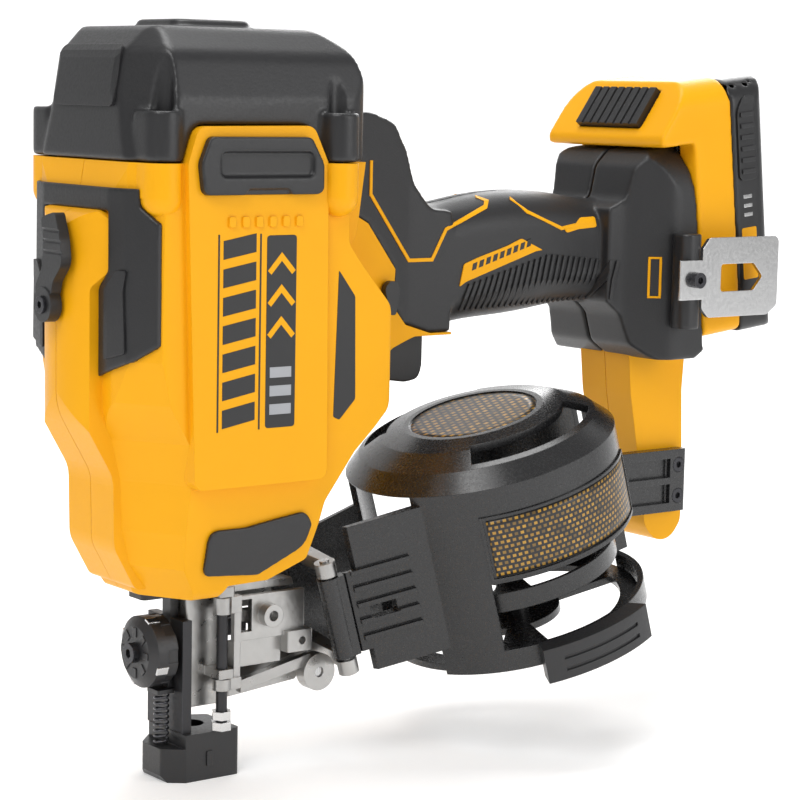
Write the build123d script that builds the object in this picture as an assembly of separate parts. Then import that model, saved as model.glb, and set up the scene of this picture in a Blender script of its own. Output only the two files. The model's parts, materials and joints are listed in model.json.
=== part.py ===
"""Cordless coil roofing nailer, in millimetres.

+Z runs up the drive axis, +X towards the battery, -Y to the tool's left side.
The origin is the centre of the nail exit, at the bottom of the contact foot.
"""
from build123d import *
from math import cos, radians, sin
import os

os.makedirs("parts", exist_ok=True)

# Body casing
WALL = 3.0
SEAM = 0.15                    # half of the gap between the two casing halves
BODY_TOP = 243.0               # seam between the yellow casing and the top cap
BOSS_FRONT = -40.0
BOSS_REAR = 35.0
BOSS_OUT = {BOSS_FRONT: 40.5, BOSS_REAR: 46.5}   # sideways distance of the cap screws
BOSS_RADIUS = 7.5
GAP = 0.3                      # running clearance between pieces that move

# Drive train
BLADE_X = 0.0
ROTOR_X = -29.0
ROTOR_Z = 189.0
ROTOR_RADIUS = 24.0
ROTOR_HALF = 9.0
ROLLER_RADIUS = 9.0
BLADE_TIP = 68.0
ROD_OUT = 11.3                 # sideways distance of the return rods

# Nose
BORE_RADIUS = 5.3
FOOT_TOP = 19.0
NOSE_BOTTOM = 28.0
NOSE_TOP = 96.0
DIAL_X = -25.5
DIAL_Z = 51.0
HINGE_ROD = (4.2, -16.0)
LATCH_PIN = (49.5, 37.0)
DOOR_Z = (54.0, 72.0)

# Nail canister, tilted about Y
TILT = 16.0
CAN_BASE = (146.5, -25.0, 50.0)
CAN_RADIUS = 57.0
CAN_WALL = 2.5
CAN_RIDGE = 78.0               # height of the shoulder above the canister's bottom
CAN_DOME = 92.0
CAN_HINGE = (-90.0, -5.0)      # the cover's hinge pin, in the canister's own frame
GUIDE_ROOT = (-40.5, 36.4)     # inner face of the nail guide, from the canister's wall
GUIDE_TIP = (-95.0, 30.8)      # to its front end

# Grip, foot and battery
FOOT_HALF = 37.0
SKIN = 2.2                     # thickness of the soft overmould
RAIL_TILT = 6.5
RAIL_BASE = (240.8, 0.0, 165.5)
PACK_LENGTH = 112.0
PACK_HALF = 37.5
PACK_DEPTH = 45.0
PACK_SPLIT = 23.0

BRACKET_SCREW_Z = (93.0, 107.0)
HOOK_X = 222.0
CASING_SCREWS = [(-22, 48.4, 135), (22, 48.4, 135), (50, 45.4, 165), (-22, 48.4, 222)]
LOCK_PIVOT = (79.5, 191.5)
TRIGGER_PIN = (98.0, 178.2)
STALL_Z = 189.0

CANISTER = Plane(
    origin=CAN_BASE,
    x_dir=(cos(radians(TILT)), 0, sin(radians(TILT))),
    z_dir=(-sin(radians(TILT)), 0, cos(radians(TILT))),
)
RAIL = Plane(
    origin=RAIL_BASE,
    x_dir=(cos(radians(RAIL_TILT)), 0, sin(radians(RAIL_TILT))),
    z_dir=(-sin(radians(RAIL_TILT)), 0, cos(radians(RAIL_TILT))),
)
FLOOR_UP = (Align.CENTER, Align.CENTER, Align.MIN)


def outline(points, radius=0.0):
    """Closed flat outline; radius is one value, or one for each corner."""
    if radius == 0:
        return make_face(Polyline(*points, close=True))
    return make_face(FilletPolyline(*points, radius=radius, close=True))


def along_y(points, y0, y1, radius=0.0):
    """Solid with an X-Z outline, from y0 to y1."""
    return Pos(0, y1, 0) * extrude(Plane.XZ * outline(points, radius), amount=y1 - y0)


def along_x(points, x0, x1, radius=0.0):
    """Solid with a Y-Z outline, from x0 to x1."""
    return Pos(x0, 0, 0) * extrude(Plane.YZ * outline(points, radius), amount=x1 - x0)


def along_z(points, z0, z1, radius=0.0):
    """Solid with an X-Y outline, from z0 to z1."""
    return Pos(0, 0, z0) * extrude(outline(points, radius), amount=z1 - z0)


def block(x, y, z, radius=0.0):
    """Box between pairs of X, Y and Z, with its upright edges rounded."""
    corners = [(x[0], y[0]), (x[1], y[0]), (x[1], y[1]), (x[0], y[1])]
    return along_z(corners, z[0], z[1], radius)


def rod(start, end, radius, bore=0.0):
    """Round bar or tube from start to end."""
    way = Vector(*end) - Vector(*start)
    place = Plane(origin=start, z_dir=way)
    bar = Cylinder(radius, way.length, align=FLOOR_UP)
    if bore:
        bar -= Cylinder(bore, way.length, align=FLOOR_UP)
    return place * bar


def cap_screw(head, way, length, head_radius=3.0, radius=1.6):
    """Socket screw: head is the centre of its top, way points along its shank."""
    place = Plane(origin=head, z_dir=way)
    screw = Cylinder(head_radius, 3.0, align=FLOOR_UP)
    screw += Cylinder(radius, length, align=FLOOR_UP)
    socket = extrude(RegularPolygon(head_radius * 0.5, 6), amount=1.8)
    return place * (screw - socket)


def both_sides(part):
    """The part together with its mirror image on the other side."""
    return part + mirror(part, about=Plane.XZ)


def coil(start, height, radius, wire, turns):
    """Compression spring standing on start."""
    helix = Helix(pitch=height / turns, height=height, radius=radius)
    section = Plane(origin=helix @ 0, z_dir=helix % 0) * Circle(wire)
    return Pos(*start) * sweep(section, path=helix)


def grown(points, radius, amount):
    """Outline face moved in or out by amount."""
    face = outline(points, radius)
    return face if amount == 0 else offset(face, amount)


# ---------------------------------------------------------------- casing

BODY_SIDE = [
    (-49, 243), (-51, 232), (-51, 150), (-45, 124), (-44.5, 97), (-33, 77), (-9, 77), (-6, 81.5),
    (12, 82), (29, 89), (34, 112), (46, 131), (62, 148), (62, 187), (48, 203), (41, 212), (41, 243),
]
BODY_SIDE_ROUND = [0, 4, 20, 14, 12, 3, 1, 1, 3, 3, 10, 10, 9, 9, 8, 6, 0]
BODY_PLAN = [(-52, 0), (-51, -24), (-46.5, -46), (64, -46), (64, 46), (-46.5, 46), (-51, 24)]
BODY_PLAN_ROUND = [0, 20, 9, 4, 4, 9, 20]
BODY_FACE = [(-34, 76), (34, 76), (41, 104), (46, 140), (46, 244), (-46, 244), (-46, 140), (-41, 104)]
BODY_FACE_ROUND = [7, 7, 20, 20, 0, 0, 20, 20]
NOSE_SIDE = [(-20, 225), (-61, 225), (-61, 150), (-46, 124), (-45.5, 97), (-36, 80), (-20, 80)]
NOSE_SIDE_ROUND = [0, 9, 24, 14, 12, 4, 0]
NOSE_FACE = [
    (-17, 60), (17, 60), (17, 196), (24, 203), (24, 225), (-24, 225), (-24, 203), (-17, 196),
]
NOSE_FACE_ROUND = [0, 0, 4, 4, 7, 7, 4, 4]
# How far the slanted front corners stand out, as (distance, height) pairs up the body
TAPER_OUT = [
    (-6, 76), (3, 90), (6, 104), (6.8, 123), (10, 139), (17.5, 154), (20, 170),
    (19.4, 243), (15.8, 262), (11.5, 284), (2.4, 295), (2.4, 310), (-200, 310), (-200, 60),
]
TAPER_SLOPE = 1.77             # sideways run of a slanted corner for each unit rearward
TAPER_FRONT = -45.0
NECK_SIDE = [
    (38, 262), (70, 262), (83, 258), (90, 247), (95, 233), (104, 223), (115, 222),
    (115, 171), (96, 171), (84, 167), (60, 152), (38, 152),
]
NECK_ROUND = [0, 6, 8, 10, 10, 8, 0, 0, 4, 4, 6, 0]
FOOT_SIDE = [
    (196, 222), (204, 226), (207, 240), (214, 247), (231.2, 249.5), (241.4, 160), (237, 156.5), (216, 156.5),
    (207, 163), (203, 176), (196, 182),
]
FOOT_ROUND = [0, 6, 6, 5, 1, 1, 2, 5, 6, 6, 0]
GRIP_STATIONS = [
    # x, top, bottom, half width, corner radius
    (96.0, 230.0, 171.0, 17.0, 12.0),
    (112.0, 224.5, 173.0, 17.0, 14.0),
    (128.0, 227.0, 175.5, 17.5, 15.0),
    (150.0, 229.5, 177.0, 18.0, 16.0),
    (172.0, 229.0, 179.5, 18.0, 16.0),
    (190.0, 226.5, 181.0, 17.5, 15.0),
    (208.0, 227.0, 178.0, 20.0, 14.0),
]


def body_form(inset):
    """Outer form of the body at inset 0, or its hollow at a larger inset."""
    side = extrude(Plane.XZ * grown(BODY_SIDE, BODY_SIDE_ROUND, -inset), amount=60, both=True)
    plan = extrude(grown(BODY_PLAN, BODY_PLAN_ROUND, -inset), amount=300)
    face = extrude(Plane.YZ * grown(BODY_FACE, BODY_FACE_ROUND, -inset), amount=80, both=True)
    return side & plan & face & front_taper(inset)


def front_taper(inset):
    """Region inside the two slanted front corners of the body and the cap."""
    length = (1 + TAPER_SLOPE ** 2) ** 0.5
    kept = Part()
    for side in (-1, 1):
        across = (-TAPER_SLOPE / length, side / length, 0)
        along = (1 / length, side * TAPER_SLOPE / length, 0)
        place = Plane(origin=(TAPER_FRONT, 0, 0), x_dir=across, z_dir=along)
        rise = 1 if place.y_dir.Z > 0 else -1
        points = [(out - inset, rise * height) for out, height in TAPER_OUT]
        region = extrude(place * outline(points), amount=400, both=True)
        kept = region if side == -1 else kept & region
    return kept


def nose_bulge(inset):
    """Rounded spine on the front of the body, in front of the flywheel."""
    side = extrude(Plane.XZ * grown(NOSE_SIDE, NOSE_SIDE_ROUND, -inset), amount=24 - inset, both=True)
    drum = Pos(-27, 0, 60) * Cylinder(34 - inset, 200, align=FLOOR_UP)
    face = Pos(-80, 0, 0) * extrude(Plane.YZ * grown(NOSE_FACE, NOSE_FACE_ROUND, -inset), amount=70)
    return side & drum & face


def grip_form(inset):
    """Grip as a smooth run of rounded sections."""
    sections = []
    for x, top, bottom, half, radius in GRIP_STATIONS:
        size = (2 * (half - inset), top - bottom - 2 * inset)
        place = Plane(origin=(x, 0, (top + bottom) / 2), x_dir=(0, 1, 0), z_dir=(1, 0, 0))
        sections.append(place * RectangleRounded(size[0], size[1], radius - inset))
    return loft(sections)


def neck_form(inset):
    """Part between the body and the grip."""
    side = extrude(Plane.XZ * grown(NECK_SIDE, NECK_ROUND, -inset), amount=22 - inset, both=True)
    plan = [(20, -22), (60, -22), (92, -17), (130, -17), (130, 17), (92, 17), (60, 22), (20, 22)]
    trunk = side & extrude(grown(plan, [0, 30, 30, 0, 0, 30, 30, 0], -inset), amount=300)
    return trunk


def foot_form(inset):
    """Enlarged end of the grip, which carries the battery."""
    side = extrude(Plane.XZ * grown(FOOT_SIDE, FOOT_ROUND, -inset), amount=FOOT_HALF - inset, both=True)
    plan = [(190, -22), (204, -24), (222, -37), (250, -37), (250, 37), (222, 37), (204, 24), (190, 22)]
    face = [(-37, 150), (37, 150), (37, 252), (-37, 252)]
    return (
        side
        & extrude(grown(plan, [0, 14, 14, 0, 0, 14, 14, 0], -inset), amount=300)
        & extrude(Plane.YZ * grown(face, [9, 9, 26, 26], -inset), amount=260)
    )


PANEL_SIDE = [(-30, 122), (-34, 243), (-29.5, 256.5), (21.5, 257), (28.5, 243), (30, 122)]
PAD_SIDE = [(-28.5, 231.5), (-30, 243), (-26, 252.8), (19, 252.8), (24.8, 243), (25, 231.5)]
LOWER_PAD = [(-19, 87), (-19, 105), (-3, 105), (10, 107), (24, 109), (28, 104), (26, 95), (6, 85)]
PILLAR_SIDE = [
    (216, 160), (250.5, 164.6), (249, 140), (250.5, 108), (251, 80), (240, 66), (229, 80),
    (225, 104), (218, 140),
]
PILLAR_ROUND = [0, 0, 20, 20, 8, 10, 8, 20, 20]
CAP_SIDE = [(-50, 243.3), (-48.5, 268), (-46, 283), (-36, 293), (36, 293), (46, 286), (54, 262), (55, 243.3)]
CAP_ROUND = [0, 0, 8, 8, 10, 12, 10, 0]
CAP_PLAN = [
    (-52, 0), (-51, -24), (-46.5, -46), (50, -45), (56, -20), (56, 20), (50, 45), (-46.5, 46),
    (-51, 24),
]
CAP_PLAN_ROUND = [0, 20, 9, 10, 12, 12, 10, 9, 20]
# Its top edge stands above the cap's top plane, so that the rounds of the two outlines cross
CAP_FACE = [
    (46, 243.3), (45.5, 266), (40, 283), (27.3, 293.6),
    (-27.3, 293.6), (-40, 283), (-45.5, 266), (-46, 243.3),
]
CAP_FACE_ROUND = [0, 8, 12, 12, 12, 12, 8, 0]


def boss(x, bottom, top):
    """Upright screw boss on the left side, with a round foot."""
    post = Pos(x, -BOSS_OUT[x], bottom) * Cylinder(BOSS_RADIUS, top - bottom, align=FLOOR_UP)
    web = block((x - BOSS_RADIUS, x + BOSS_RADIUS), (-BOSS_OUT[x], -BOSS_OUT[x] + 8.5), (bottom, top))
    return post + web


def boss_foot(x, level):
    """Rounded underside of a boss."""
    ball = Pos(x, -BOSS_OUT[x], level) * Sphere(BOSS_RADIUS)
    return ball + Pos(x, -BOSS_OUT[x] + 5, level) * Sphere(BOSS_RADIUS)


def rear_block(inset):
    """Body behind the side panel, under the rear of the cap."""
    points = [(36, 200), (50, 214), (54, 243), (36, 243)]
    return extrude(Plane.XZ * grown(points, [0, 8, 0, 0], -inset), amount=38 - inset, both=True)


def pillar_form(inset):
    """Leg that hangs from the grip's foot and carries the canister."""
    points = grown(PILLAR_SIDE, PILLAR_ROUND, -inset)
    leg = extrude(Plane.XZ * points, amount=16 - inset, both=True)
    face = [(-16, 50), (16, 50), (16, 180), (-16, 180)]
    return leg & extrude(Plane.YZ * grown(face, 6, -inset), amount=300)


def casing_parts():
    """Left and right casing halves, with the skin space of the overmould left out."""
    inner = SKIN
    solid = body_form(0) + nose_bulge(0) + rear_block(0)
    solid += both_sides(along_y(PANEL_SIDE, -49, -42, [4, 0, 5, 5, 0, 4]))
    for x in (BOSS_FRONT, BOSS_REAR):
        solid += both_sides(boss(x, 230, BODY_TOP) + boss_foot(x, 230))
    solid += neck_form(inner) + grip_form(inner) + foot_form(inner) + pillar_form(0)
    solid += neck_form(0) & cheek()
    hollow = body_form(WALL) + nose_bulge(WALL) + rear_block(WALL)
    mouth = extrude(grown(BODY_PLAN, BODY_PLAN_ROUND, -WALL), amount=40)
    hollow += (Pos(0, 0, 225) * mouth) & block((-47, 38), (-60, 60), (225, 270))
    hollow += neck_form(inner + WALL) + grip_form(inner + WALL) + foot_form(inner + WALL)
    hollow += pillar_form(WALL)
    ribs = inner_ribs() & solid
    solid -= hollow
    solid += ribs
    solid -= both_sides(along_y(PAD_SIDE, -52, -47.6, [3, 6, 3, 3, 6, 3]))
    solid -= nose_port()
    solid -= trigger_slot()
    solid -= battery_pocket()
    for x in (BOSS_FRONT, BOSS_REAR):
        solid -= both_sides(rod((x, -BOSS_OUT[x], 224), (x, -BOSS_OUT[x], 250), 1.8))
    for x, y, z in CASING_SCREWS:
        solid -= rod((x, y - 3, z), (x, y + 5, z), 3.6)
        solid -= rod((x, y - 8, z), (x, y, z), 1.8)
    solid -= rod((LOCK_PIVOT[0], -30, LOCK_PIVOT[1]), (LOCK_PIVOT[0], -10, LOCK_PIVOT[1]), 2.26)
    solid -= rod((-70, 0, STALL_Z), (-50, 0, STALL_Z), 2.66)
    return solid - terminal_window()


def inner_ribs():
    """Ribs on the casing's inner walls that hold the solenoid, the switch and the board."""
    ribs = block((38, 46), (-44, -8.5), (168, 171))
    ribs += block((100, 112), (-13, -8.5), (193, 196))
    ribs += block((214, 222), (-33, -24), (200, 204))
    return both_sides(ribs)


def cheek():
    """Region of the neck where the yellow casing shows beside the overmould."""
    edge = [
        (30, 262), (56, 262), (56, 243), (60, 222), (68.5, 218), (84.5, 199), (83.5, 184), (91, 176),
        (104, 172), (118, 172), (118, 140), (30, 140),
    ]
    return along_y(edge, -40, 40)


def nose_port():
    """Opening in the floor of the body for the nose."""
    return block((-13, 14), (-19, 14), (70, 90))


def trigger_slot():
    """Slot under the grip for the trigger."""
    return block((84, 116), (-5, 5), (150, 181))


def battery_pocket():
    """Rear face of the foot, kept clear for the battery's rails."""
    return RAIL * Box(10, 80, 110, align=(Align.MIN, Align.CENTER, Align.MIN))


def terminal_window():
    """Window in the rear of the foot for the battery terminals."""
    return RAIL * block((-13.6, 1), (-14.6, 14.6), (23.4, 58.6))


def half(solid, side):
    """One side of a split piece; side is -1 for the left and 1 for the right."""
    reach = Box(700, 200, 700)
    return solid & (Pos(100, side * (100 + SEAM), 100) * reach)


def cap_form(inset):
    """Outer form of the cap, or its hollow."""
    side = extrude(Plane.XZ * grown(CAP_SIDE, CAP_ROUND, -inset), amount=60, both=True)
    plan = Pos(0, 0, 200) * extrude(grown(CAP_PLAN, CAP_PLAN_ROUND, -inset), amount=120)
    face = extrude(Plane.YZ * grown(CAP_FACE, CAP_FACE_ROUND, -inset), amount=80, both=True)
    return side & plan & face & front_taper(inset)


def top_cap():
    """Black cover over the top of the drive."""
    cap = cap_form(0)
    cap += block((-19, 16), (-17, 17), (288, 296), 6)
    for x in (BOSS_FRONT, BOSS_REAR):
        cap += both_sides(boss(x, BODY_TOP + GAP, 262))
    hollow = cap_form(3)
    hollow += Pos(0, 0, -3.2) * (hollow & block((-80, 80), (-80, 80), (240, 262)))
    posts = Part()
    for x in (BOSS_FRONT, BOSS_REAR):
        posts += both_sides(rod((x, -BOSS_OUT[x], 240), (x, -BOSS_OUT[x], 292), BOSS_RADIUS))
    cap -= hollow - posts
    cap -= both_sides(along_y([(x, z + GAP) for x, z in PANEL_SIDE], -60, -41.7, [4, 0, 5, 5, 0, 4]))
    cap -= neck_form(-GAP) & block((20, 120), (-30, 30), (200, 270))
    for x in (BOSS_FRONT, BOSS_REAR):
        cap -= both_sides(rod((x, -BOSS_OUT[x], 240), (x, -BOSS_OUT[x], 290), 2.0))
        cap -= both_sides(rod((x, -BOSS_OUT[x], 258.5), (x, -BOSS_OUT[x], 290), 4.0))
    return cap


def cap_screws():
    """Four socket screws that hold the cap down."""
    group = Part()
    for x in (BOSS_FRONT, BOSS_REAR):
        group += cap_screw((x, -BOSS_OUT[x], 261.6), (0, 0, -1), 33, 3.6, 1.7)
        group += cap_screw((x, BOSS_OUT[x], 261.6), (0, 0, -1), 33, 3.6, 1.7)
    return group


def biggest(part):
    """Largest solid, without the crumbs that a cut can leave."""
    return max(part.solids(), key=lambda piece: piece.volume)


def overmould():
    """Soft black skin over the neck, the grip and the foot."""
    skin = neck_form(0) + grip_form(0) + foot_form(0)
    skin -= neck_form(SKIN) + grip_form(SKIN) + foot_form(SKIN)
    skin -= body_form(0) + rear_block(0) + pillar_form(0) + cheek()
    skin -= trigger_slot()
    skin -= battery_pocket()
    return skin - terminal_window()


def front_bumper():
    """Rubber arch round the spine on the front of the body."""
    arch = [
        (-38, 233.5), (38, 233.5), (38, 227), (45, 221), (45, 176), (36, 170), (17, 163), (17, 196),
        (24, 203), (24, 225), (-24, 225), (-24, 203), (-17, 196), (-17, 163), (-36, 170), (-45, 176),
        (-45, 221), (-38, 227),
    ]
    pad = body_form(-2) & along_x(arch, -70, -42)
    pad -= both_sides(boss(BOSS_FRONT, 230, BODY_TOP) + boss_foot(BOSS_FRONT, 230))
    return biggest(pad - body_form(0) - nose_bulge(0))


def side_bumper():
    """Left rubber pad on the side panel; the right one mirrors it."""
    pad = along_y(PAD_SIDE, -51.8, -47.6, [3, 6, 3, 3, 6, 3])
    dish = [(-21.5, 238), (-21.5, 247.3), (20.3, 247.3), (20.3, 238)]
    pad -= along_y(dish, -53, -50, 2.5)
    notch = [(-12, 229), (-9, 233.8), (9, 233.8), (12, 229)]
    return pad - along_y(notch, -53, -50)


def lower_bumper():
    """Left rubber pad low on the body; the right one mirrors it."""
    window = along_y(LOWER_PAD, -60, -20, [3, 4, 8, 8, 4, 4, 8, 3])
    return biggest((body_form(-1.8) - body_form(0)) & window)


# ---------------------------------------------------------------- drive

def main_frame():
    """Die-cast frame that carries the flywheel, the return rods and the nose."""
    plate = [(-28, 97), (22, 97), (24, 150), (24, 236), (-44, 236), (-44, 150)]
    frame = both_sides(along_y(plate, -19, -15, [3, 3, 10, 4, 4, 10]))
    window = [(-30, 120), (16, 120), (16, 150), (-34, 150)]
    frame -= both_sides(along_y(window, -20, -14, 4))
    frame += block((-28, 22), (-15, 15), (97, 103))
    frame += block((-44, 24), (-15, 15), (232, 236))
    frame -= block((-3, 3), (-3.5, 3.5), (90, 110))
    frame -= rod((ROTOR_X, -30, ROTOR_Z), (ROTOR_X, 30, ROTOR_Z), 4.0)
    frame -= rod((21, -30, 214), (21, 30, 214), 2.5)
    for y in (-ROD_OUT, ROD_OUT):
        frame -= rod((BLADE_X, y, 99), (BLADE_X, y, 240), 2.0)
    return frame


def rotor_axle():
    """Fixed axle of the outer-rotor motor."""
    return rod((ROTOR_X, -19, ROTOR_Z), (ROTOR_X, 19, ROTOR_Z), 4.0)


def motor_stator():
    """Wound stator, fixed on the axle."""
    core = rod((ROTOR_X, -7, ROTOR_Z), (ROTOR_X, 7, ROTOR_Z), 15.0, 4.0)
    for step in range(9):
        slot = Rot(0, step * 40, 0) * Pos(11.5, 0, 0) * Box(7.5, 20, 2.4)
        core -= Pos(ROTOR_X, 0, ROTOR_Z) * slot
    return core


def flywheel_rotor():
    """Steel outer rotor, which is also the flywheel."""
    def at(y):
        return (ROTOR_X, y, ROTOR_Z)
    wheel = rod(at(-ROTOR_HALF), at(ROTOR_HALF + 2), ROTOR_RADIUS, 15.6)
    wheel += rod(at(9.2), at(11), 16, 7.5)
    wheel += rod(at(7.6), at(14.6), 10.5, 7.5)
    for y in (-5, 0, 5):
        wheel -= rod(at(y - 0.8), at(y + 0.8), ROTOR_RADIUS + 1, ROTOR_RADIUS - 0.9)
    return wheel


def rotor_bearings():
    """Two ball bearings in the rotor's hub, turning on the axle."""
    pair = rod((ROTOR_X, 7.7, ROTOR_Z), (ROTOR_X, 10.9, ROTOR_Z), 7.5, 4.05)
    return pair + rod((ROTOR_X, 11.3, ROTOR_Z), (ROTOR_X, 14.5, ROTOR_Z), 7.5, 4.05)


def driver_blade():
    """Blade that pushes the nail."""
    blade = block((-2, 2), (-2.5, 2.5), (BLADE_TIP, 182), 0.8)
    return blade + block((-3, 3), (-5, 5), (182, 190))


def driver_carrier():
    """Profile that the flywheel grips, with an ear for each return rod."""
    carrier = block((-4.5, 5), (-7, 7), (180, 228), 1)
    carrier += block((-3.8, 3.8), (-15 + GAP, 15 - GAP), (219, 228), 1)
    carrier -= block((-2, 2), (-2.5, 2.5), (178, 182), 0.8) + block((-3, 3), (-5, 5), (182, 190))
    for y in (-ROD_OUT, ROD_OUT):
        carrier -= rod((BLADE_X, y, 210), (BLADE_X, y, 240), 2.06)
    return carrier


def return_rods():
    """Two guide rods of the return system."""
    return both_sides(rod((BLADE_X, -ROD_OUT, 99), (BLADE_X, -ROD_OUT, 236), 2.0))


def return_springs():
    """Springs that lift the driver back."""
    return both_sides(coil((BLADE_X, -ROD_OUT, 104.2), 114, 3.0, 0.45, 15))


def drive_bumper():
    """Rubber stop at the bottom of the driver's stroke."""
    stop = block((-8, 8), (-7.5, 7.5), (103, 111.5), 2)
    return stop - block((-3, 3), (-3.5, 3.5), (100, 115))


def pinch_roller():
    """Roller that presses the driver against the flywheel."""
    return rod((14.4, -6, ROTOR_Z), (14.4, 6, ROTOR_Z), ROLLER_RADIUS, 3.05)


def roller_arm():
    """Arm that carries the roller and its pin."""
    cheek_side = [(10.5, 184), (18.5, 184), (25, 214), (21, 218), (17, 214)]
    arm = both_sides(along_y(cheek_side, -9.4, -6.4, [3.5, 3.5, 3, 3, 3]))
    arm += rod((14.4, -9.4, ROTOR_Z), (14.4, 9.4, ROTOR_Z), 3.0)
    arm += block((18, 23.5), (-9.4, 9.4), (200, 207))
    return arm - rod((21, -20, 214), (21, 20, 214), 2.55)


def arm_pin():
    """Pin on which the roller arm swings."""
    return rod((21, -19, 214), (21, 19, 214), 2.5)


def solenoid():
    """Solenoid that swings the roller arm in."""
    body = rod((42, 0, 152), (42, 0, 182), 8.5)
    return body + rod((42, 0, 182), (42, 0, 189), 2.5)


# ---------------------------------------------------------------- nose

def nose_frame():
    """Steel nose with the drive bore, open to the rear for the nails."""
    nose = block((-7.5, 8), (-8.5, 8.5), (NOSE_BOTTOM, NOSE_TOP), 1)
    nose += block((-20, 20), (-12, 12), (NOSE_TOP - 5, NOSE_TOP + 1), 2)
    nose -= rod((0, 0, 20), (0, 0, 100), BORE_RADIUS)
    nose -= block((0, 9), (-BORE_RADIUS, BORE_RADIUS), (32, 79))
    nose += block((1, 8), (-19.5, -8), (73, 77), 1) + block((1, 8), (-19.5, -8), (40.3, 44), 1)
    x, y = HINGE_ROD
    return nose - rod((x, y, 20), (x, y, 80), 2.31)


def door_rod():
    """Black rod on which the nose door swings."""
    x, y = HINGE_ROD
    return rod((x, y, FOOT_TOP), (x, y, 77), 2.25)


def rod_nuts():
    """Two chromed nuts under the rod's lower lug."""
    x, y = HINGE_ROD
    nuts = Part()
    for z, radius in ((FOOT_TOP + 0.4, 4.3), (FOOT_TOP + 4.6, 4.1)):
        nuts += Pos(x, y, z) * extrude(RegularPolygon(radius, 6), amount=3.4)
    return nuts - rod((x, y, 10), (x, y, 40), 2.25)


def nose_door():
    """Cast door beside the nail track."""
    x, y = HINGE_ROD
    low, high = DOOR_Z
    door = block((9.2, 43), (-17, -14), (low, high), 0.8)
    door += block((9.2, 12.2), (-17, -12.5), (35.4, low))
    door += block((12, 33), (-14.6, -12.6), (43, low + 2))
    door += block((16, 40), (-14.2, -7.5), (60, 65))
    door += block((33, 45), (-20, -14), (47.2, 56), 1)
    door += rod((25, -21.5, 63.5), (25, -15, 63.5), 4.6)
    for bottom, top in ((35.4, 40), (66, 72.7)):
        door += rod((x, y, bottom), (x, y, top), 3.6)
        door += block((x, 12), (-18.2, -14.5), (bottom, top))
    door -= block((12.5, 17.5), (-20, -10), (57.5, 70.5), 0.5)
    door -= rod((25, -23, 63.5), (25, -17.5, 63.5), 2.1)
    door -= rod((40, -23, 51.6), (40, -13, 51.6), 1.6)
    return door - rod((x, y, 20), (x, y, 80), 2.31)


def feed_track():
    """Fixed plates that lead the nails from the canister to the nose."""
    track = block((8.2, 55), (6, 8.5), (34, 76))
    track += block((8.2, 50), (-12, 8.5), (73, 76))
    rail = [(12, 34.5), (50, 45.8), (50, 40), (44, 33), (12, 30)]
    track += along_y(rail, -9, 8.5)
    track -= block((14, 40), (5, 10), (48, 62))
    return track - CANISTER * block((-95.4, 0), (-100, 100), (-50, 150))


def latch_pin():
    """Pin of the door latch."""
    return rod((LATCH_PIN[0], -17.8, LATCH_PIN[1]), (LATCH_PIN[0], -9, LATCH_PIN[1]), 2.0)


def door_latch():
    """Lever under the track that locks the nose door."""
    lever = along_y([(13, 33), (13, 38), (46, 44.5), (50, 41)], -16.4, -13)
    x, z = LATCH_PIN
    lever += rod((x, -18.6, z), (x, -13, z), 7.6)
    return lever - rod((x, -30, z), (x, 0, z), 2.05)


def feed_pawl():
    """Sliding block whose fingers push the next nail into the bore."""
    slide = block((18, 32), (8.8, 13.5), (50, 60))
    slide += block((20, 24), (5, 9), (52, 58))
    return slide - rod((0, 11.2, 55), (60, 11.2, 55), 1.55)


def feed_rod():
    """Guide rod of the feed slide, in two brackets on the track."""
    guide = rod((11, 11.2, 55), (46, 11.2, 55), 1.5)
    guide += block((9, 12), (8.5, 14), (50, 60)) + block((43.4, 46.4), (8.5, 14), (50, 60))
    return guide


def contact_foot():
    """Moulded foot that rests on the shingle, round the nail exit."""
    plan = [(-20, -10), (-20, 4), (-12, 12), (5, 12), (13, 8), (13, -16), (-12, -16)]
    foot = along_z(plan, 0, FOOT_TOP, [1.5, 3, 2, 2, 2, 2, 1])
    foot -= along_y([(-30, 13.5), (-30, 30), (-12.1, 30), (-12.1, 13.5)], -30, 30)
    foot -= along_y([(-21, -1), (-21, 4), (-17, -1)], -30, 30)
    return foot - rod((0, 0, -1), (0, 0, 30), BORE_RADIUS)


def contact_arm():
    """Steel arm that joins the foot to the depth dial."""
    arm = block((-12, -8.2), (-13, 13), (FOOT_TOP - 6, 64)) & block((-20, 0), (-20, 20), (FOOT_TOP, 70))
    arm += block((-12, -7.9), (-13, -9.2), (FOOT_TOP, 64))
    arm += block((-12, -7.9), (9.2, 13), (FOOT_TOP, 64))
    arm -= block((-13, -8), (-3.3, 3.3), (40, 66))
    return arm


def trip_spring():
    """Spring that pushes the contact foot down."""
    return coil((-16.4, -4.5, 14.1), 19.8, 2.7, 0.45, 9)


def dial_carrier():
    """Black block on the nose that holds the depth dial and the trip spring's seat."""
    carrier = block((-11.6, -8), (-3, 3), (48.2, 77)) + block((-26, -7.7), (-6, 6), (72.6, 77), 2)
    carrier += rod((-12.6, 0, DIAL_Z), (-7.6, 0, DIAL_Z), 2.8)
    carrier += rod((-25.8, 0, DIAL_Z), (-8, 0, DIAL_Z), 2.5)
    carrier += block((-14.2, -12.4), (-6, 4), (34.8, 54)) + block((-20, -12.4), (-8, 1), (34.8, 36.4), 1)
    return carrier


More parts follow.
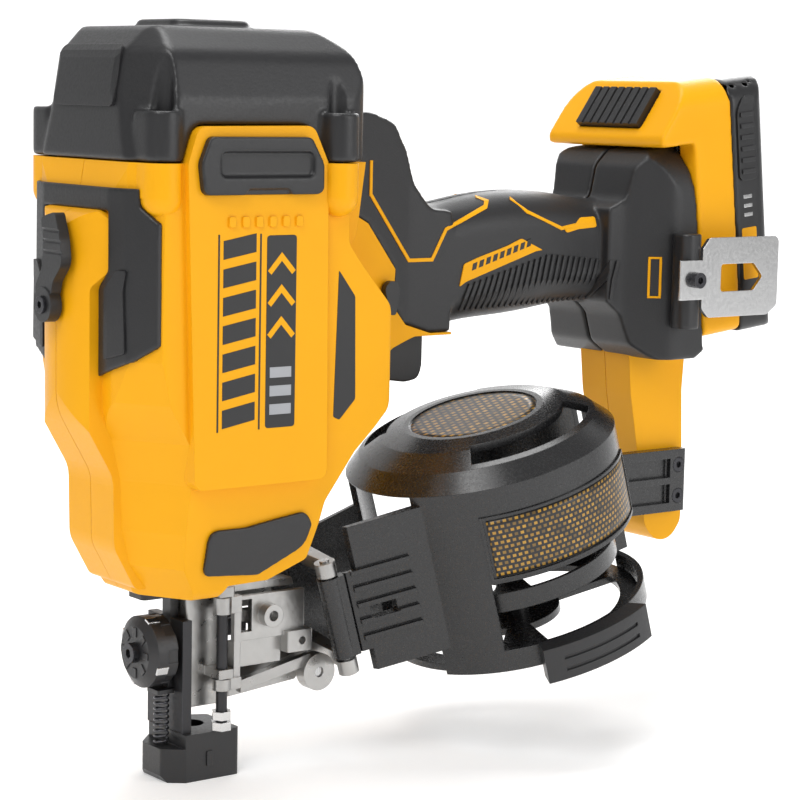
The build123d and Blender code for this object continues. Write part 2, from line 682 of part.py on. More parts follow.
def depth_dial():
    """Knurled dial that sets the driving depth."""
    dial = rod((DIAL_X + 2, 0, DIAL_Z), (-14.6, 0, DIAL_Z), 14.2)
    cone = Plane(origin=(DIAL_X + 2, 0, DIAL_Z), z_dir=(-1, 0, 0)) * Cone(14.2, 10.5, 2.4, align=FLOOR_UP)
    dial += cone
    for step in range(8):
        notch = Pos(0, 0, 15.6) * Box(7, 5.0, 4.0)
        dial -= Pos(-15.6, 0, DIAL_Z) * (Rot(step * 45, 0, 0) * notch)
    return dial - rod((-40, 0, DIAL_Z), (0, 0, DIAL_Z), 2.56)


def dial_screw():
    """Screw that holds the dial."""
    return cap_screw((-29.0, 0, DIAL_Z), (1, 0, 0), 2.6, 4.0, 2.0)


# ---------------------------------------------------------------- canister

def arc_wall(inner, outer, z0, z1, start, end):
    """Curved wall about the canister's axis, between two angles."""
    size = end - start
    at = [(r * cos(radians(a)), r * sin(radians(a))) for r, a in
          ((outer, start), (inner, start), (outer, end), (inner, end))]
    edges = CenterArc((0, 0), outer, start, size) + CenterArc((0, 0), inner, start, size)
    edges += Line(at[0], at[1]) + Line(at[2], at[3])
    return Pos(0, 0, z0) * extrude(make_face(edges), amount=z1 - z0)


def canister_cover():
    """Swinging cover: dome, near wall with its window, strap, rim and hinge arm."""
    outer = CAN_RADIUS
    inner = CAN_RADIUS - CAN_WALL
    crown = [(0, CAN_DOME - 3), (0, CAN_DOME - 0.8), (27, CAN_DOME - 0.8), (27, CAN_DOME), (29.5, CAN_DOME)]
    shoulder = [(40, 90), (50, 85), (outer, CAN_RIDGE), (outer, CAN_RIDGE - 0.2), (inner, CAN_RIDGE - 0.2)]
    under = [(48, 82.5), (39, 87), (29, CAN_DOME - 3)]
    dome = revolve(Plane.XZ * outline(crown + shoulder + under), axis=Axis.Z)
    for start in (-132, 48):
        dome -= arc_wall(37, 47.5, 70, 100, start, start + 92)
    cover = dome + arc_wall(inner, outer, 38, CAN_RIDGE, -160, -3)
    cover += arc_wall(inner, outer, 5, 40, -160, -133)
    cover += arc_wall(inner, outer, 0, 9, -160, -8)
    cover += arc_wall(inner, outer + 6, 8, 46, -6, -3)
    hx, hy = CAN_HINGE
    cover += along_z([(-51, -19), (-50, -24.5), (-80, -11), (-80.6, -8.4)], 12, 74)
    cover += along_z([(-78, -9.6), (-77, -12.4), (-84, -9), (-85, -6.4)], 21.3, 55.5)
    cover += Pos(0, 0, 21.3) * (Pos(hx, hy) * Cylinder(4.6, 34.2, align=FLOOR_UP))
    cover += along_z([(-85.5, -10), (-84, -6), (-91, -1), (-91, -9)], 21.3, 55.5)
    for level in (26, 33, 40, 47, 54):
        rib = [(-83, -11.5), (-82.4, -9.4), (-60, -19.4), (-60.6, -21.6)]
        cover += along_z(rib, level, level + 2)
    cover -= along_z([(-78, -20), (-78, -5), (-68, -10), (-68, -25)], 34.5, 39.5)
    cover -= Pos(hx, hy) * Cylinder(2.06, 200)
    clear = Cylinder(54.3, 200) + block((-120, -20), (0, 40), (-1, 77))
    cover -= clear & block((-120, 0), (-20, 40), (-1, 77))
    return CANISTER * biggest(cover)


def cover_tab():
    """Ribbed finger grip on the cover's rim."""
    tab = arc_wall(CAN_RADIUS, 66, -5, 9.5, -119, -72)
    for level in (-1.5, 3.5):
        tab -= arc_wall(65.2, 70, level, level + 1.6, -112, -79)
    return CANISTER * tab


def canister_floor():
    """Fixed floor with its openings, the far wall and the nail guide."""
    inner = CAN_RADIUS - CAN_WALL
    floor = Cylinder(inner - 0.6, 3, align=FLOOR_UP)
    for start in (-110, 10, 130):
        floor -= arc_wall(20, 46, -1, 5, start, start + 92)
    wall = arc_wall(inner, CAN_RADIUS, 0, CAN_RIDGE - 1, 3, 140)
    wall += arc_wall(inner - 2, CAN_RADIUS, 0, 3, 3, 140)
    wall -= arc_wall(inner - 3, CAN_RADIUS + 3, 20, 62, 62, 118)
    tip = GUIDE_TIP
    guide = along_z([(-42.3, 38.1), GUIDE_ROOT, tip, (tip[0], tip[1] + 2.5)], 12, 62)
    base = floor + wall + guide
    base += Cylinder(7, 12, align=FLOOR_UP)
    return CANISTER * (base - Pos(0, 0, 3) * Cylinder(4.05, 40, align=FLOOR_UP))


def platform_post():
    """Threaded post of the nail platform, fixed in the floor."""
    return CANISTER * (Pos(0, 0, 3) * Cylinder(4.0, 44, align=FLOOR_UP))


def nail_platform():
    """Platform that the coil of nails stands on; it slides on the post."""
    disc = Pos(0, 0, 22) * Cylinder(48, 2.4, align=FLOOR_UP)
    disc += arc_wall(46.2, 48, 22, 30, -170, 120)
    for start in (-110, 10, 130):
        disc -= arc_wall(16, 40, 20, 26, start, start + 92)
    disc += Pos(0, 0, 18) * Cylinder(9, 12, align=FLOOR_UP)
    return CANISTER * (disc - Cylinder(4.06, 200))


def hinge_pin():
    """Steel pin of the cover's hinge."""
    hx, hy = CAN_HINGE
    return CANISTER * rod((hx, hy, 13), (hx, hy, 63), 2.0)


def on_guide(x):
    """Point on the inner face of the nail guide, in the canister's own frame."""
    share = (x - GUIDE_ROOT[0]) / (GUIDE_TIP[0] - GUIDE_ROOT[0])
    return (x, GUIDE_ROOT[1] + share * (GUIDE_TIP[1] - GUIDE_ROOT[1]))


def cover_hinge_bracket():
    """Steel lugs on the nail guide, above and below the cover's hinge."""
    hx, hy = CAN_HINGE
    lugs = Part()
    for level in (14, 56.2):
        lugs += Pos(hx, hy, level) * Cylinder(4.2, 6, align=FLOOR_UP)
        lugs += along_z([(hx, hy), (hx + 4, hy), on_guide(-79), on_guide(-85.5)], level, level + 6)
    return CANISTER * (lugs - Pos(hx, hy) * Cylinder(2.0, 300))


def canister_bracket():
    """Bracket between the canister's far wall and the leg of the casing."""
    arm = block((184, 248), (-22, -16.4), (86, 114), 2)
    arm -= block((213, 238), (-30, -19.5), (90, 98.5), 1)
    arm -= block((213, 238), (-30, -19.5), (101.5, 110), 1)
    arm -= CANISTER * Cylinder(CAN_RADIUS + 0.1, 200, align=FLOOR_UP)
    for z in BRACKET_SCREW_Z:
        arm -= rod((243, -30, z), (243, 0, z), 1.6) + rod((243, -30, z), (243, -19, z), 3.4)
    foot = CANISTER * (arc_wall(CAN_RADIUS + 0.1, 64, 20, 50, 4, 26))
    return biggest(arm + foot)


def bracket_screws():
    """Two screws through the bracket into the leg."""
    pair = Part()
    for z in BRACKET_SCREW_Z:
        pair += cap_screw((243, -22.1, z), (0, 1, 0), 6, 3.2, 1.6)
    return pair


# ---------------------------------------------------------------- grip and controls

def trigger():
    """Finger trigger on its pin."""
    side = [(88.5, 181), (88.5, 160), (90.5, 152), (101, 150.5), (107.5, 151.5), (109.5, 156), (110, 181)]
    body = along_y(side, -4.6, 4.6, [3, 12, 3, 6, 4, 6, 3])
    x, z = TRIGGER_PIN
    return body - rod((x, -10, z), (x, 10, z), 1.66)


def trigger_pin():
    """Pin that the trigger swings on."""
    x, z = TRIGGER_PIN
    return rod((x, -10, z), (x, 10, z), 1.6)


def trigger_switch():
    """Switch above the trigger."""
    return block((91, 121), (-8.5, 8.5), (186, 206), 1) + rod((104, 0, 183.5), (104, 0, 186), 2.2)


def lock_lever():
    """Teardrop lever on the left that locks the trigger."""
    side = [(75.5, 192), (79.5, 196), (83.5, 192), (81.3, 181), (78.6, 181)]
    lever = along_y(side, -23.4, -20.4, [3, 3, 3, 1.2, 1.2])
    return lever + rod((79.5, -23.4, 191.5), (79.5, -12, 191.5), 2.2)


def stall_lever():
    """Curved lever on the front that turns the flywheel free after a stall."""
    arm = [
        (-5.5, 193), (-7, 198), (-14, 205), (-12.5, 214), (-8.5, 224), (2, 221.5), (0, 213),
        (1, 203), (6, 196), (6, 190),
    ]
    lever = along_x(arm, -66.5, -62.2, [2, 5, 6, 8, 2, 2, 8, 6, 5, 0])
    lever += rod((-67, 0, 189), (-62.2, 0, 189), 6.6)
    lever += rod((-62.2, 0, 189), (-56, 0, 189), 2.6)
    for z in (209, 213, 217):
        lever -= rod((-66.8, -14, z), (-66.8, 4, z), 0.8)
    return lever - rod((-68, 0, 189), (-65.2, 0, 189), 3.3) - rod((-68, 0, 189), (-60.2, 0, 189), 1.5)


def stall_screw():
    """Screw of the stall release lever."""
    return cap_screw((-68.2, 0, 189), (1, 0, 0), 7.9, 3.2, 1.5)


def controller_board():
    """Potted electronics in the foot."""
    return RAIL * block((-19.5, -15), (-24, 24), (14, 74), 2)


def terminal_block():
    """Terminals that reach into the battery."""
    body = block((-13, -0.2), (-14, 14), (24, 58), 2)
    for y in (-9, 0, 9):
        body += block((-0.2, 6.5), (y - 0.5, y + 0.5), (28, 52))
    return RAIL * body


def battery_rails():
    """Nylon rails on the foot that hold the battery."""
    rail = block((0.1, 6), (-26, -22.5), (8, 84)) + block((3.6, 6), (-26, -18.5), (8, 84))
    return RAIL * both_sides(rail)


def hook_mount():
    """Black boss on the foot for the belt hook."""
    mount = block((218, 229), (-48.4, -36.9), (171, 212), 4.5)
    return mount - rod((HOOK_X, -60, 192.5), (HOOK_X, -30, 192.5), 2.0)


def belt_hook():
    """Bent steel belt hook."""
    strip = block((213, 232), (-50.2, -48.5), (184, 201), 0.8)
    side = [(226, 180), (226, 206), (230, 210.5), (272, 210.5), (272, 180), (266, 176), (230, 176)]
    plate = along_y(side, -50.2, -48.5, 3)
    window = [(237, 187), (237, 199), (257, 199), (262.6, 193), (257, 187)]
    hook = strip + plate + block((270.5, 272), (-50.2, -44.5), (183, 207), 0.5)
    return hook - along_y(window, -60, -40, 1.5) - rod((HOOK_X, -60, 192.5), (HOOK_X, -40, 192.5), 2.1)


def hook_screw():
    """Screw of the belt hook."""
    return cap_screw((HOOK_X, -53.3, 192.5), (0, 1, 0), 12, 3.4, 2.0)


# ---------------------------------------------------------------- battery

PACK_SCREWS = [(-29, 7), (29, 7), (-29, 103), (29, 103)]


def battery_upper_case():
    """Yellow half of the battery case, with the channels for the rails."""
    side = [
        (0.4, 0), (PACK_SPLIT, 0), (PACK_SPLIT, PACK_LENGTH), (1, PACK_LENGTH), (-19, 90),
        (-19, 85.4), (0.4, 85.4),
    ]
    case = along_y(side, -PACK_HALF, PACK_HALF, [1, 0, 0, 4, 3, 2, 0])
    face = [(-PACK_HALF, 0), (PACK_HALF, 0), (PACK_HALF, PACK_LENGTH), (-PACK_HALF, PACK_LENGTH)]
    case &= along_x(face, -20, 60, [4, 4, 14, 14])
    case -= block((9, 30), (-33, 33), (4, 96))
    groove = block((-1, 6.5), (-26.6, -21.9), (-5, 90)) + block((3.0, 6.5), (-26.6, -17.9), (-5, 90))
    case -= both_sides(groove)
    case -= block((-1, 8), (-13, 13), (-5, 62))
    return RAIL * (case - button_block(0, 7.4))


BUTTON = Plane(origin=(-9, 0, 101), x_dir=(0, 1, 0), z_dir=(-22, 0, 20))


def button_block(gap, depth):
    """Block on the sloping shoulder of the battery, from depth below the slope to just above it."""
    body = Box(40 - 2 * gap, 20 - 2 * gap, depth + 2.7, align=FLOOR_UP)
    return BUTTON * (Pos(0, 0, -depth) * body)


def release_button():
    """Ribbed button that frees the battery."""
    button = button_block(GAP, 4.4)
    for step in range(7):
        groove = Pos(-15 + 5 * step, 0, 2.6) * Box(1.6, 24, 1.2)
        button -= BUTTON * groove
    return RAIL * button


def battery_lower_case():
    """Black half of the battery case."""
    face = [(-PACK_HALF, -1), (PACK_HALF, -1), (PACK_HALF, PACK_LENGTH - 1), (-PACK_HALF, PACK_LENGTH - 1)]
    case = along_x(face, PACK_SPLIT + 0.01, PACK_DEPTH, [4, 4, 12, 12])
    plan = [(0, -PACK_HALF), (PACK_DEPTH, -PACK_HALF), (PACK_DEPTH, PACK_HALF), (0, PACK_HALF)]
    case &= along_z(plan, -5, 130, [0, 8, 8, 0])
    case -= block((20, 43.6), (-34, 34), (3, PACK_LENGTH - 4))
    for y, z in PACK_SCREWS:
        case -= rod((PACK_DEPTH - 3.2, y, z), (PACK_DEPTH + 1, y, z), 2.6)
        case -= rod((PACK_DEPTH - 6, y, z), (PACK_DEPTH, y, z), 1.3)
    return RAIL * case


def battery_cells():
    """Five cylindrical cells."""
    cells = Part()
    for step in range(5):
        z = 15 + 19 * step
        cells += rod((34.2, -32.5, z), (34.2, 32.5, z), 9.0)
    return RAIL * cells


def battery_screws():
    """Four screws that close the battery case."""
    group = Part()
    for y, z in PACK_SCREWS:
        group += cap_screw((PACK_DEPTH - 0.2, y, z), (-1, 0, 0), 4, 2.6, 1.3)
    return RAIL * group


def casing_screws():
    """Screws that close the casing from the right."""
    group = Part()
    for x, y, z in CASING_SCREWS:
        group += cap_screw((x, y, z), (0, -1, 0), 6, 3.6, 1.8)
    return group


def write(name, part):
    """Write one sub-part."""
    export_step(part, "parts/" + name + ".step")


def write_split_parts():
    """Pieces that are made whole and then split down the middle."""
    casing = casing_parts()
    skin = overmould()
    for side, name in ((-1, "left"), (1, "right")):
        write(name + "_casing", biggest(half(casing, side)))
        write(name + "_overmould", biggest(half(skin, side)))


SINGLE_PARTS = {
    "top_cap": top_cap,
    "casing_screws": lambda: cap_screws() + casing_screws(),
    "front_bumper": front_bumper,
    "side_bumpers": lambda: both_sides(side_bumper()),
    "lower_bumpers": lambda: both_sides(lower_bumper()),
    "main_frame": main_frame,
    "rotor_axle": rotor_axle,
    "motor_stator": motor_stator,
    "flywheel_rotor": flywheel_rotor,
    "rotor_bearings": rotor_bearings,
    "driver_blade": driver_blade,
    "driver_carrier": driver_carrier,
    "return_rods": return_rods,
    "return_springs": return_springs,
    "drive_bumper": drive_bumper,
    "pinch_roller": pinch_roller,
    "roller_arm": roller_arm,
    "pivot_pins": lambda: arm_pin() + trigger_pin(),
    "solenoid": solenoid,
    "nose_frame": nose_frame,
    "trip_rod": door_rod,
    "rod_nuts": rod_nuts,
    "nose_door": nose_door,
    "feed_track": feed_track,
    "hinge_pins": lambda: hinge_pin() + latch_pin(),
    "door_latch": door_latch,
    "feed_pawl": feed_pawl,
    "feed_rod": feed_rod,
    "contact_foot": contact_foot,
    "contact_arm": contact_arm,
    "trip_spring": trip_spring,
    "dial_carrier": dial_carrier,
    "depth_dial": depth_dial,
    "dial_screw": dial_screw,
    "canister_cover": canister_cover,
    "cover_tab": cover_tab,
    "canister_floor": lambda: canister_floor() + platform_post(),
    "nail_platform": nail_platform,
    "cover_hinge_bracket": cover_hinge_bracket,
    "canister_bracket": canister_bracket,
    "mount_screws": lambda: bracket_screws() + hook_screw(),
    "trigger": trigger,
    "trigger_switch": trigger_switch,
    "lock_lever": lock_lever,
    "stall_lever": stall_lever,
    "stall_screw": stall_screw,
    "controller_board": controller_board,
    "terminal_block": terminal_block,
    "battery_rails": battery_rails,
    "hook_mount": hook_mount,
    "belt_hook": belt_hook,
    "battery_upper_case": battery_upper_case,
    "release_button": release_button,
    "battery_lower_case": battery_lower_case,
    "battery_cells": battery_cells,
    "battery_screws": battery_screws,
}

write_split_parts()
for part_name, make_part in SINGLE_PARTS.items():
    write(part_name, make_part())
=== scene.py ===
"""Looks of a coil roofing nailer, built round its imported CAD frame.

Everything is in metres in the CAD frame: +Z up the drive axis, +X towards the
battery, -Y to the tool's left side, and the origin at the nail exit.
"""
import json
import math

import bmesh
import bpy
from mathutils import Matrix, Vector
from mathutils.bvhtree import BVHTree
from mathutils.geometry import delaunay_2d_cdt


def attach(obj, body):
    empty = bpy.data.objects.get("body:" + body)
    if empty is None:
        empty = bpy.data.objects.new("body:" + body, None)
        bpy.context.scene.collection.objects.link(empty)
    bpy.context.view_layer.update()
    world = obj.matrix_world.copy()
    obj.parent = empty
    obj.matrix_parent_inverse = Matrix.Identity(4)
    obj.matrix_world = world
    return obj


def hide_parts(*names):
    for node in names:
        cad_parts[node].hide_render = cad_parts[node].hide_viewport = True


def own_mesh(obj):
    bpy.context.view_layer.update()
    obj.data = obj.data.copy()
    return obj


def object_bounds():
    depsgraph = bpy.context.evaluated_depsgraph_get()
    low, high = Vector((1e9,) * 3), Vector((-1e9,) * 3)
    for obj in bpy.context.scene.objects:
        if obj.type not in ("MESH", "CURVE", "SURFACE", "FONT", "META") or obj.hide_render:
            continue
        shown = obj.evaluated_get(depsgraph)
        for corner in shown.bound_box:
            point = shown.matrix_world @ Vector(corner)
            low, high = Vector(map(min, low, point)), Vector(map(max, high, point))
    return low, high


MM = 0.001
TILT = math.radians(16)          # the canister leans by this much about Y
CANISTER_BASE = Vector((0.1465, -0.025, 0.050))
CANISTER_X = Vector((math.cos(TILT), 0, math.sin(TILT)))
CANISTER_Z = Vector((-math.sin(TILT), 0, math.cos(TILT)))
RAIL_TILT = math.radians(6.5)    # the battery and its rails lean by this much
RAIL_BASE = Vector((0.2408, 0, 0.1655))
RAIL_X = Vector((math.cos(RAIL_TILT), 0, math.sin(RAIL_TILT)))
RAIL_Z = Vector((-math.sin(RAIL_TILT), 0, math.cos(RAIL_TILT)))

BUTTON_CENTRE = RAIL_BASE + RAIL_X * -0.009 + RAIL_Z * 0.101

YELLOW = (0.84, 0.385, 0.006)
BLACK = (0.013, 0.013, 0.014)
EMBED = 0.25 * MM                # how far a trim piece reaches into what it lies on
CAST_FROM = 0.3                  # how far out points are thrown from, in metres
CORNER_FROM = 0.2                # the same for the slanted front corners
CORNER_SLOPE = 1.77              # how steeply those corners run back from the front
CORNER_ROOT = -45 * MM           # where their lines meet on the middle plane
HELD_TRUE = {"pack_upper": (BUTTON_CENTRE, 31 * MM)}   # centre and reach of a sliding fit

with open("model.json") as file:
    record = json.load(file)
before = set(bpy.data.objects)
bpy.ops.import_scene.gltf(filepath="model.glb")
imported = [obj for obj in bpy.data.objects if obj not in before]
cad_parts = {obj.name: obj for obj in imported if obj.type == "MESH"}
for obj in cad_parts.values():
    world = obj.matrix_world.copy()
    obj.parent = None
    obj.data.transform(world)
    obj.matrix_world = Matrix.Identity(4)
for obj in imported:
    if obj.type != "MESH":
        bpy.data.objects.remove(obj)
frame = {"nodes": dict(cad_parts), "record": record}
NODES = frame["nodes"]
cad_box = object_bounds()


# ---------------------------------------------------------------- materials

class Nodes:
    """Short way to add and join the nodes of one material."""

    def __init__(self, name):
        self.material = bpy.data.materials.new(name)
        self.material.use_nodes = True
        self.tree = self.material.node_tree
        self.shader = self.tree.nodes["Principled BSDF"]
        coordinates = self.tree.nodes.new("ShaderNodeTexCoord")
        self.place = coordinates.outputs["Object"]
        self.label_place = coordinates.outputs["UV"]

    def add(self, kind, **settings):
        node = self.tree.nodes.new(kind)
        for key, value in settings.items():
            setattr(node, key, value)
        return node

    def join(self, source, target):
        self.tree.links.new(source, target)

    def noise(self, scale, detail=3.0, roughness=0.5, stretch=None):
        node = self.add("ShaderNodeTexNoise")
        node.inputs["Scale"].default_value = scale
        node.inputs["Detail"].default_value = detail
        node.inputs["Roughness"].default_value = roughness
        place = self.place
        if stretch:
            mapping = self.add("ShaderNodeMapping")
            mapping.inputs["Scale"].default_value = stretch
            self.join(place, mapping.inputs["Vector"])
            place = mapping.outputs["Vector"]
        self.join(place, node.inputs["Vector"])
        return node.outputs["Fac"]

    def spread(self, value, low, high, start=0.3, end=0.7):
        node = self.add("ShaderNodeMapRange")
        node.inputs["From Min"].default_value = start
        node.inputs["From Max"].default_value = end
        node.inputs["To Min"].default_value = low
        node.inputs["To Max"].default_value = high
        self.join(value, node.inputs["Value"])
        return node.outputs["Result"]

    def blend(self, factor, first, second):
        node = self.add("ShaderNodeMix", data_type="RGBA")
        self.join(factor, node.inputs["Factor"])
        for value, socket in ((first, node.inputs[6]), (second, node.inputs[7])):
            if isinstance(value, tuple):
                socket.default_value = (*value, 1)
            else:
                self.join(value, socket)
        return node.outputs[2]


def scaled(colour, share):
    """A colour made lighter or darker."""
    return tuple(min(1.0, part * share) for part in colour)


def finish_material(name, colour, rough, metal=0.0, grain=900.0, relief=0.05, coat=0.0,
                    vary=0.08, edge_highlight=1.15, round_off=0.45, stretch=None, shine=0.5):
    """Mottled colour and roughness, a fine relief, softened edges, and a painted highlight that
    makes the edges lighter.
    """
    made = Nodes(name)
    broad = made.noise(18.0, 4.0, 0.6)
    mottled = made.blend(made.spread(broad, 0, 1),
                         scaled(colour, 1 - vary), scaled(colour, 1 + vary))
    bevel = made.add("ShaderNodeBevel", samples=4)
    bevel.inputs["Radius"].default_value = round_off * MM
    geometry = made.add("ShaderNodeNewGeometry")
    turn = made.add("ShaderNodeVectorMath", operation="DOT_PRODUCT")
    made.join(bevel.outputs["Normal"], turn.inputs[0])
    made.join(geometry.outputs["Normal"], turn.inputs[1])
    # painted highlight: the colour turns lighter where the bevelled normal parts from the true one,
    # along edges
    rim = made.spread(turn.outputs["Value"], 1, 0, 0.80, 0.99)
    lighter = scaled(colour, edge_highlight)
    made.join(made.blend(rim, mottled, lighter), made.shader.inputs["Base Color"])
    fine = made.noise(grain, 2.0, 0.5, stretch)
    made.join(made.spread(fine, rough - 0.06, rough + 0.06), made.shader.inputs["Roughness"])
    bump = made.add("ShaderNodeBump")
    bump.inputs["Strength"].default_value = relief
    bump.inputs["Distance"].default_value = 0.2 * MM
    made.join(fine, bump.inputs["Height"])
    made.join(bevel.outputs["Normal"], bump.inputs["Normal"])
    made.join(bump.outputs["Normal"], made.shader.inputs["Normal"])
    made.shader.inputs["Metallic"].default_value = metal
    made.shader.inputs["Specular IOR Level"].default_value = 0.5 if metal else shine
    made.shader.inputs["Coat Weight"].default_value = coat
    made.shader.inputs["Coat Roughness"].default_value = 0.25
    return made.material


def all_materials():
    """One material for each slot of the record."""
    # each material's edge factor sets how much lighter its painted edge highlight is
    brushed = (1.0, 1.0, 0.08)
    return {
        "casing_yellow": finish_material("yellow_nylon", YELLOW, 0.36,
                                         vary=0.025, edge_highlight=1.08, shine=0.16),
        "battery_yellow": finish_material("yellow_case", scaled(YELLOW, 1.02), 0.34,
                                          vary=0.025, shine=0.16),
        "cap_black": finish_material("black_nylon", scaled(BLACK, 1.2), 0.38,
                                     relief=0.22, edge_highlight=1.7),
        "grip_black": finish_material("soft_grip", scaled(BLACK, 1.1), 0.44,
                                      relief=0.35, grain=1500, edge_highlight=1.4),
        "bumper_black": finish_material("bumper_rubber", scaled(BLACK, 1.1), 0.40,
                                        relief=0.25, edge_highlight=1.5),
        "canister_black": finish_material("canister_nylon", scaled(BLACK, 0.8), 0.26,
                                          edge_highlight=1.8, coat=0.2),
        "trigger_black": finish_material("lever_nylon", scaled(BLACK, 1.1), 0.38,
                                         relief=0.12, edge_highlight=1.6),
        "dial_black": finish_material("dial_nylon", scaled(BLACK, 1.4), 0.42,
                                      relief=0.2, edge_highlight=1.8),
        "battery_black": finish_material("battery_case", BLACK, 0.34, relief=0.15, edge_highlight=1.6),
        "cast_alloy": finish_material("cast_alloy", (0.42, 0.415, 0.405), 0.34,
                                      1.0, 420, 0.5, vary=0.12),
        "nose_steel": finish_material("tumbled_steel", (0.40, 0.395, 0.385), 0.32,
                                      1.0, 300, 0.35, vary=0.14),
        "bright_steel": finish_material("ground_steel", (0.46, 0.46, 0.46), 0.25,
                                        1.0, 800, 0.15, stretch=brushed),
        "dark_steel": finish_material("blackened_steel", (0.11, 0.11, 0.12), 0.4,
                                      0.8, 500, 0.2),
        "black_steel": finish_material("phosphate_steel", (0.035, 0.035, 0.038), 0.38,
                                       0.5, 600, 0.2, edge_highlight=2.2),
        "chrome_plate": finish_material("bright_plate", (0.60, 0.60, 0.60), 0.18,
                                        1.0, 700, 0.06, vary=0.04),
        "spring_steel": finish_material("spring_wire", (0.10, 0.10, 0.11), 0.3,
                                        0.9, 600, 0.1),
        "screw_black": finish_material("black_oxide", (0.045, 0.045, 0.05), 0.32,
                                       0.7, 600, 0.15, edge_highlight=2.2),
        "winding_copper": finish_material("copper_winding", (0.66, 0.28, 0.12), 0.35,
                                          1.0, 900, 0.4),
        "board_green": finish_material("potted_board", (0.02, 0.07, 0.04), 0.3),
        "cell_sleeve": finish_material("cell_sleeve", (0.05, 0.16, 0.36), 0.3),
    }


MATERIALS = all_materials()


def dress_cad():
    """Gives every CAD node the material of its slot."""
    for entry in frame["record"]["subparts"]:
        mesh = NODES[entry["node"]].data
        mesh.materials.clear()
        mesh.materials.append(MATERIALS[entry["material_slot"]])


# ---------------------------------------------------------------- studio

def area_light(name, place, aim, size, watts):
    """Soft white rectangular light at place, pointing at aim."""
    data = bpy.data.lights.new(name, "AREA")
    data.shape = "RECTANGLE"
    data.size, data.size_y = size
    data.energy = watts
    light = bpy.data.objects.new(name, data)
    light.location = place
    way = Vector(aim) - Vector(place)
    light.rotation_euler = way.to_track_quat("-Z", "Y").to_euler()
    bpy.context.scene.collection.objects.link(light)


def studio():
    """Pale floor that bends up into a backdrop, even sky and four soft lights."""
    low = cad_box[0].z
    start, bend, steps, top = 1.4, 0.7, 12, 4.0
    rows = [(-3.0, 0.0), (start, 0.0)]
    for step in range(1, steps + 1):
        turn = math.pi / 2 * step / steps
        rows.append((start + bend * math.sin(turn), bend * (1 - math.cos(turn))))
    rows.append((start + bend, top))
    away = Vector((0.6023, 0.7878, 0)).normalized()     # level, away from the camera
    side = Vector((away.y, -away.x, 0))
    points = [tuple(away * out + side * wide + Vector((0, 0, low + up)))
              for out, up in rows for wide in (-5, 5)]
    faces = [(2 * k, 2 * k + 1, 2 * k + 3, 2 * k + 2) for k in range(len(rows) - 1)]
    mesh = bpy.data.meshes.new("backdrop")
    mesh.from_pydata(points, [], faces)
    mesh.polygons.foreach_set("use_smooth", [True] * len(faces))
    floor = bpy.data.objects.new("backdrop", mesh)
    bpy.context.scene.collection.objects.link(floor)
    paper = finish_material("paper", (0.90, 0.90, 0.90), 0.8, vary=0.003, relief=0.0, edge_highlight=1.0)
    glow = paper.node_tree.nodes["Principled BSDF"]
    glow.inputs["Emission Color"].default_value = (1, 1, 1, 1)
    glow.inputs["Emission Strength"].default_value = 0.22
    mesh.materials.append(paper)
    world = bpy.data.worlds.new("sky")
    world.use_nodes = True
    world.node_tree.nodes["Background"].inputs["Color"].default_value = (1, 1, 1, 1)
    world.node_tree.nodes["Background"].inputs["Strength"].default_value = 0.40
    bpy.context.scene.world = world
    centre = (0.10, 0, 0.16)
    area_light("key", (-1.1, -0.7, 1.5), centre, (0.9, 0.9), 16)
    area_light("fill", (0.9, -1.6, 0.7), centre, (1.0, 1.0), 9)
    area_light("top", (0.2, 0.2, 1.9), centre, (1.2, 0.8), 18)
    area_light("rim", (1.3, 0.9, 1.0), centre, (0.8, 0.8), 10)
    bpy.context.scene.view_settings.view_transform = "Standard"


def camera():
    """Camera to the tool's left and front, a little above it and rolled slightly."""
    azimuth = math.radians(-37.4)
    height = math.radians(7.4)
    roll = math.radians(1.14)
    back = Vector((math.sin(azimuth) * math.cos(height),
                   -math.cos(azimuth) * math.cos(height), math.sin(height)))
    flat = Vector((math.cos(azimuth), math.sin(azimuth), 0))
    rise = back.cross(flat)
    right = flat * math.cos(roll) + rise * math.sin(roll)
    up = rise * math.cos(roll) - flat * math.sin(roll)
    turn = Matrix((right, up, back)).transposed().to_4x4()
    data = bpy.data.cameras.new("view")
    data.lens = 108
    data.sensor_width = 36
    data.clip_start = 0.01
    made = bpy.data.objects.new("view", data)
    made.matrix_world = Matrix.Translation((-0.50216, -0.79024, 0.27164)) @ turn
    bpy.context.scene.collection.objects.link(made)
    bpy.context.scene.camera = made


camera()
studio()
dress_cad()

# ---------------------------------------------------------------- mesh tools

def piece(name, points, faces, body, material, smooth=True):
    """New mesh object that rides on a body and takes a slot's finish."""
    mesh = bpy.data.meshes.new(name)
    mesh.from_pydata([tuple(point) for point in points], [], faces)
    mesh.validate()
    mesh.polygons.foreach_set("use_smooth", [smooth] * len(mesh.polygons))
    mesh.materials.append(material)
    made = bpy.data.objects.new(name, mesh)
    bpy.context.scene.collection.objects.link(made)
    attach(made, body)
    return made


def face_out(made):
    """Turns every face of a piece outward."""
    edit = bmesh.new()
    edit.from_mesh(made.data)
    bmesh.ops.recalc_face_normals(edit, faces=edit.faces)
    edit.to_mesh(made.data)
    edit.free()


def hold_true(mesh, points, faces, centre, reach):
    """Puts a softened mesh back onto the CAD surface where another piece slides."""
    tree = BVHTree.FromPolygons(points, faces)
    for vertex in mesh.vertices:
        if (vertex.co - centre).length < reach:
            vertex.co = tree.find_nearest(vertex.co)[0]


